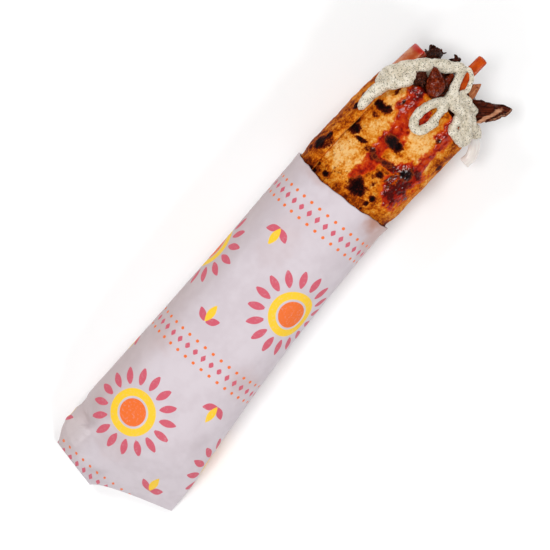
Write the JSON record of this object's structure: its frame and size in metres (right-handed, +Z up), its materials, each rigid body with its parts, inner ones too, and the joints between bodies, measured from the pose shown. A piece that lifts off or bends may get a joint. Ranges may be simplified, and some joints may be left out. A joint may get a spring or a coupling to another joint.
{
  "type": "flatbread wrap",
  "caption": "Flatbread wrap lying down, rolled round meat, tomato, pepper and onion, with thick white sauce over its open mouth and a printed paper folded under at its closed end.",
  "frame": {"origin": "under the middle of the bounding box, on the surface that the wrap lies on", "axes": "+X along the roll towards its open mouth, +Y across it, +Z up"},
  "size_m": [0.2658, 0.066, 0.0478],
  "materials": {
    "paper": "matt wrapping paper with a coloured print",
    "bread": "baked flatbread, golden with char spots and red sauce stains",
    "filling": "packed roast meat, moist",
    "white_sauce": "thick speckled white sauce, satin",
    "tomato": "wet tomato",
    "pepper": "wet orange pepper",
    "pale_meat": "pale roast meat, moist",
    "dark_meat": "dark roast meat with a glossy browned surface",
    "onion": "wet translucent onion"
  },
  "bodies": {
    "root": {"paper": "paper", "bread": "bread", "filling": "filling", "white_sauce": "white_sauce", "tomato_wedge": "tomato", "pepper_stick": "pepper", "pepper_slice": "pepper", "meat_pale": "pale_meat", "meat_strip": "dark_meat", "meat_chunk": "dark_meat", "meat_sliver": "dark_meat", "meat_flake": "dark_meat", "meat_lump": "dark_meat", "meat_curl": "dark_meat", "onion_slice": "onion"}
  },
  "joints": []
}
